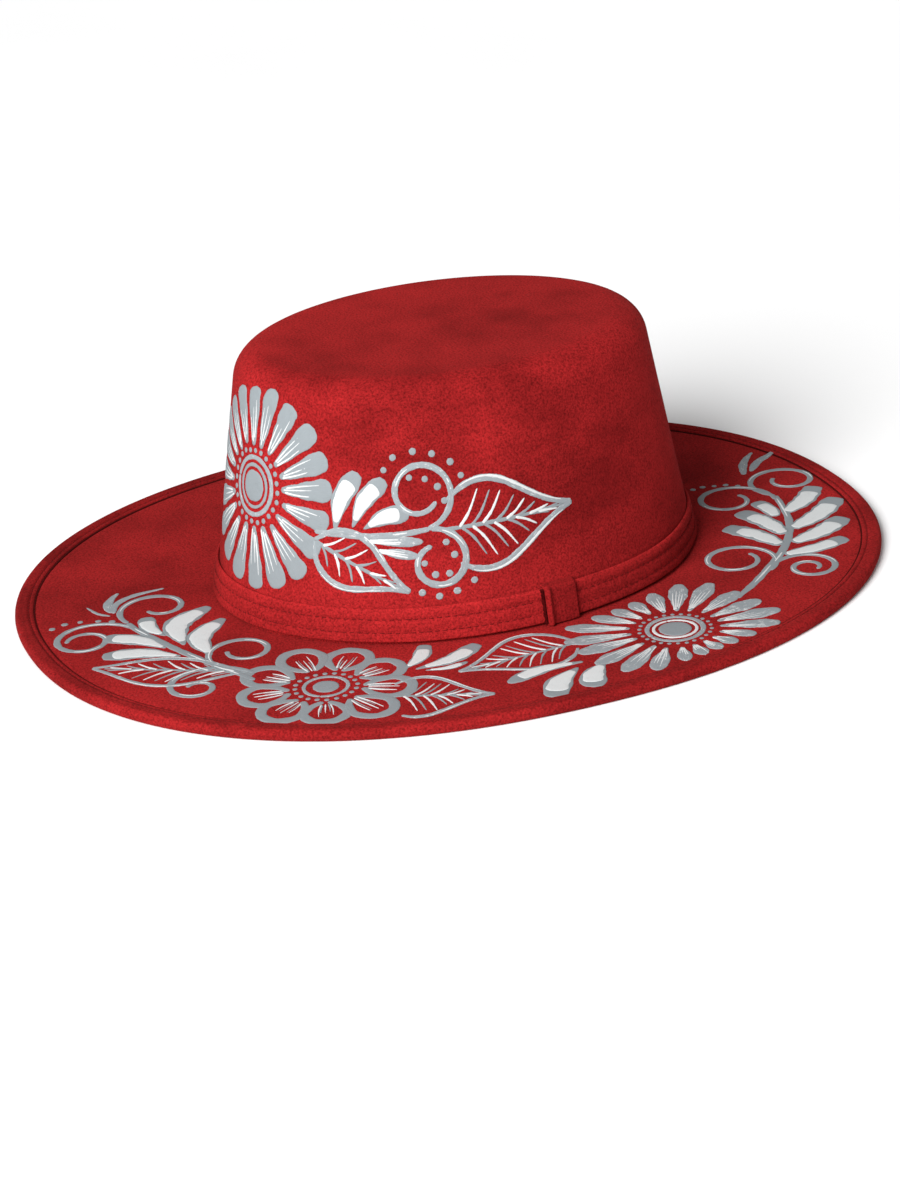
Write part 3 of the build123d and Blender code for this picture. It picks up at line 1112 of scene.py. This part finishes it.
def daisy(canvas, centre, paint, petals, roots, tips, width, shape, streak_count, streak_reach, stretch=0.0,
          room=open_canvas):
    """Long petals all round. stretch makes those to the sides longer than those up and down."""
    for k in range(petals):
        a = 2 * math.pi * (k + 0.3) / petals + random.uniform(-0.02, 0.02)
        reach = min(tips * (1 + stretch * math.cos(2 * a)) * random.uniform(0.96, 1.04), room(centre, a))
        root, tip = polar(centre, a, roots * random.uniform(0.96, 1.06)), polar(centre, a, reach)
        size = width * random.uniform(0.94, 1.05) * min(reach / tips, 1) ** 0.8
        paint.stroke([root, (root + tip) / 2, tip], widths(shape, size), blunt=0.65)
        streaks(canvas.white, root, tip, size, streak_count, streak_reach)


def outlined_flower(canvas, centre, petals=9, reach=33.8, half_width=9.2):
    """A flower of looped petals, with the suede bare inside the loops but for streaks."""
    loop = HALF_LOOP + [(out, -side) for out, side in HALF_LOOP[::-1]]
    for k in range(petals):
        a = math.radians(-90) + 2 * math.pi * k / petals
        scale = min(reach * (1 - 0.06 * math.cos(2 * a)), room_on_brim(centre, a) - 2.3) / reach
        away = np.array([math.cos(a), math.sin(a)])
        aside = np.array([-away[1], away[0]])
        path = [np.array(centre) + away * out * scale + aside * side * half_width for out, side in loop]
        canvas.grey.stroke(smooth_path(path), [2.4, 4.2, 4.6, 4.6, 4.2, 2.4])
        root, tip = polar(centre, a, 15.5), polar(centre, a, 31 * scale)
        streaks(canvas.white, root, tip, 11, 3, reach=0.88, size=0.6, gather=0.6)
        streaks(canvas.grey, root, tip, 7, 2, reach=0.8, size=0.6, gather=0.6)


def plume(canvas, root, tip, width, bow=0.1, shape=PLUME, white=(0.12, 0.82), blunt=0.4):
    """A drop-shaped petal, white between two shares of its length, with grey round it and at its tip."""
    root, tip = np.array(root, float), np.array(tip, float)
    along = tip - root
    path = smooth_path([root, (root + tip) / 2 + np.array([-along[1], along[0]]) * bow, tip])
    canvas.grey.stroke(path, widths(shape, width), blunt=blunt)
    shares = np.linspace(*white, 9)
    inside = np.array([along_path(path, share) for share in shares])
    canvas.white.stroke(inside, along_shape(shape, shares) * width * 0.78, blunt=0.6)


def along_shape(shape, shares):
    return np.interp(shares, np.linspace(0, 1, len(shape)), shape)


def plumes(canvas, spots, **style):
    for root, tip, width in spots:
        plume(canvas, root, tip, width, **style)


def leaf(canvas, base, tip, halves, veins, line=2.2, lit=0.3, begins=(0.0, 0.0), shape=LEAF):
    """An outlined leaf with a midrib and slanting veins, in grey touched with white.

    halves holds its half-widths to the left and right. lit is the white share of its outline's width.
    begins says how far from the base each side's outline starts, where it grows from behind something."""
    base, tip, along, aside = ends_and_aside(base, tip)
    spine = base + along * np.linspace(0, 1, len(shape))[:, None]
    first_vein = 0.05 + 0.6 * max(begins)
    for side, half, begin in zip((1, -1), halves, begins):
        edge = smooth_path(spine + aside * (side * half * np.array(shape))[:, None])
        edge = edge[int(len(edge) * begin):]
        canvas.pale.stroke(edge, widths([0.6, 1.0, 1.1, 1.1, 1.0, 0.9, 0.8], line))
        canvas.white.stroke((edge + aside * side * line * 0.3)[6:-6], widths(SLENDER, line * lit))
        for k in range(veins):
            start = first_vein + (0.78 - first_vein) * (k + random.uniform(0.25, 0.6)) / veins
            root, ahead = along_path(spine, start), min(start + 0.15, 0.94)
            shelf = max(along_shape(shape, ahead) * half - line * 0.8, 1.2)
            end = along_path(spine, ahead) + aside * side * shelf * random.uniform(0.75, 0.98)
            bend = (root + end) / 2 - aside * side * shelf * 0.1
            paint = canvas.white if (k + (side > 0)) % 2 else canvas.grey
            paint.stroke(smooth_path([root, bend, end]), widths([1.0, 0.95, 0.7, 0.4], 0.4 + line * 0.3))
    rib = smooth_path(spine)[int(len(shape) * 4 * min(begins)):-6]
    canvas.grey.stroke(rib, widths([1.0, 1.1, 1.0, 0.8, 0.5], 0.5 + line * 0.4))


def vine(canvas, paint, path, width):
    """A stem or curl: a line that swells and thins, with a white light along parts of it."""
    paint.stroke(path, widths([0.7, 1.0, 0.95, 1.05, 1.0, 1.0, 0.9, 0.75], width))
    for begin in (0.08, 0.38, 0.66):
        first = int(len(path) * (begin + random.uniform(-0.05, 0.08)))
        last = first + int(len(path) * random.uniform(0.12, 0.24))
        nudge = np.array([random.uniform(-0.2, 0.2), random.uniform(-0.2, 0.2)]) * width
        if last - first > 4:
            canvas.white.stroke(path[first:last] + nudge, widths(SLENDER, width * 0.24))


def ferns(canvas, fronds):
    """Bare tapered strokes, each (points, width)."""
    for points, width in fronds:
        canvas.pale.stroke(smooth_path(points), widths([0.5, 0.9, 1.0, 0.9, 0.6, 0.3], width))


# ---- The painting ----

def paint_crown():
    crown = Canvas("crown", crown_canvas)
    centre = (18.3, 63)
    daisy(crown, centre, crown.grey, petals=20, roots=17, tips=42.3, width=9.2, shape=PETAL, streak_count=3,
          streak_reach=0.75)
    rings = [(8.6, 1.3, crown.grey), (11.7, 1.8, crown.pale)]
    flower_middle(crown, centre, 6.6, rings, dot_ring=14.9, dot_size=2.1, dot_count=24)
    plumes(crown, [((61, 51), (71, 75), 8.8), ((68.5, 52.5), (82.5, 72), 8), ((73, 52), (92, 58), 7.6)])
    for root, tip in (((74, 47), (97, 46)), ((77, 43.5), (95, 40))):
        crown.pale.stroke(smooth_path([root, tip]), widths(SPEAR, 4.2))
        streaks(crown.white, root, tip, 4, 3, reach=0.85, size=0.9)
    vine(crown, crown.pale, smooth_path([(52, 50), (64, 49.5), (76, 49), (88, 49.5), (100, 51)]), 2.6)
    vine(crown, crown.pale, curl((99, 51), (96, 66), 410, 8), 2.6)
    vine(crown, crown.pale, curl((100, 51), (102, 37), -355, 7), 2.8)
    dots(crown.grey, [(82, 76), (86, 81), (94.5, 83), (102.5, 81.5), (110, 77.5), (114, 71.5), (92.5, 72.5),
                      (99, 71.5), (104, 68), (106.5, 62)], 2.7)
    dots(crown.pale, [(106, 45), (109, 39.5), (97, 37), (101, 32), (106.5, 32), (116, 28), (109, 24.5),
                      (102, 23), (95.5, 25)], 2.7)
    leaf(crown, (101, 50), (161, 51.5), (18.5, 18.5), veins=8, line=2.8, lit=0.42, begins=(0.12, 0.17))
    leaf(crown, (52, 46.5), (91, 25.5), (11.5, 11), veins=6, line=2.5, lit=0.2)
    crown.finish()


def paint_brim():
    brim = Canvas("brim", brim_canvas)
    centre = (-91, 96.5)
    outlined_flower(brim, centre)
    flower_middle(brim, centre, 5.4, [(9.0, 1.5, brim.pale)], dot_ring=12.4, dot_size=2.0, dot_count=20)
    centre = (52, 117)
    daisy(brim, centre, brim.pale, petals=21, roots=17.5, tips=46, width=9.0, shape=SPEAR, streak_count=4,
          streak_reach=0.8, stretch=-0.03, room=room_on_brim)
    rings = [(8.6, 1.2, brim.white), (11.6, 1.9, brim.pale)]
    flower_middle(brim, centre, 6.8, rings, dot_ring=14.6, dot_size=1.7, dot_count=26)
    leaf(brim, (-113, 67), (-168.6, 31), (11, 15), veins=9, shape=SLIM_LEAF)
    leaf(brim, (-76, 116), (-35, 137), (19, 17), veins=8, begins=(0.24, 0.12))
    leaf(brim, (13, 109), (-40, 110.5), (18, 15), veins=9, line=2.1, begins=(0.03, 0.05))
    plumes(brim, [((-58, 97), (-42, 79), 7.5), ((-54, 99.5), (-23, 89.5), 8.8), ((3, 131), (-16, 152), 11.5),
                  ((14, 132), (1, 151), 11)])
    plume(brim, (7, 127), (-27, 130.5), 8.2, shape=SPEAR, blunt=1.0)
    plume(brim, (-51, 102.5), (-33, 103.5), 3.6, shape=SPEAR, white=(0.1, 0.85))
    paint_front_scroll(brim)
    paint_back_scroll(brim)
    brim.finish()


def scroll(brim, stem, stem_width, curls, curl_width):
    """A stem with curls, each (start, centre, sweep, end radius, power)."""
    vine(brim, brim.grey, smooth_path(stem), stem_width)
    for spiral in curls:
        vine(brim, brim.grey, curl(*spiral), curl_width)


def paint_front_scroll(brim):
    stem = [(-114, 76), (-119, 63), (-125, 50), (-132, 32), (-137.5, 15), (-141.5, 2), (-142.5, -6)]
    curls = [((-142.5, -6), (-126, -15), 380, 5.6, 1.5), ((-140, 9), (-163.5, 3.5), -535, 8.0, 3.6),
             ((-119, 62), (-108, 46.5), 440, 7.5, 2.4), ((-112, 69), (-136, 71.5), -500, 4.8, 3.0)]
    scroll(brim, stem, 3.4, curls, 2.8)
    ferns(brim, [([(-145.5, -20), (-145, -28), (-141, -35), (-137, -39)], 4.2),
                 ([(-145, -19), (-141, -28), (-132, -33), (-118, -34)], 3.2),
                 ([(-147, -17), (-151, -22), (-153.5, -31)], 1.6)])
    dots(brim.grey, [(-172.5, -16.5), (-166.5, -18.5), (-160, -17.5), (-153, -14.5), (-148, -11)], 2.6)
    plumes(brim, [((-136, 27), (-156, 4), 10), ((-133, 38), (-162, 22), 10.5)], white=(0.05, 0.88))
    plume(brim, (-132.5, 15), (-134, -8), 8, bow=-0.12)
    plume(brim, (-128.5, 28), (-107, -5), 12, bow=-0.22, shape=SICKLE, white=(0.08, 0.88))
    plume(brim, (-122, 44), (-105.5, 10), 10.8, bow=-0.2, shape=SICKLE, white=(0.08, 0.88))


def paint_back_scroll(brim):
    stem = [(87, 102), (100, 92), (113, 80), (125, 68), (135, 55), (144, 38), (149, 22), (152, 9)]
    curls = [((152, 9), (165, -5), 460, 6.5, 1.5), ((150, 13), (131.5, 4), -420, 8.0, 2.0),
             ((112, 83), (104.5, 66), -454, 9.0, 1.8), ((113, 83), (128, 88), 590, 4, 1.5)]
    scroll(brim, stem, 3.6, curls, 2.7)
    dots(brim.grey, [(118, -13), (124, -16.5), (129, -17), (134, -15.5), (139, -14), (143, -10)], 2.4)
    ferns(brim, [([(151.5, -21), (156, -31), (161, -38), (167, -44)], 4.0),
                 ([(156, -23), (164, -32), (172, -37), (178, -42)], 4.0)])
    plumes(brim, [((129, 61), (116.5, 31), 10.5), ((135.5, 51), (129.5, 18), 10.5),
                  ((141.5, 31), (141, 11), 8), ((147, 29), (172, 8), 10), ((141, 47), (174, 25), 11),
                  ((134, 61), (166, 47), 11), ((125, 71), (156, 68), 9)],
           bow=0.06, shape=BLADE, white=(0.03, 0.8))


# ---- The scene ----

add_camera()
add_studio()
make_crown_cover()
make_brim_covers()
make_binding()
make_lip_shadow_cord()
make_binding_stitches()
make_hatband()
make_hatband_stitches()
make_keeper()
make_keeper_fold_shadow()
make_lining()
make_sweatband()
dress_hidden_nodes()
paint_crown()
paint_brim()

bpy.context.view_layer.update()
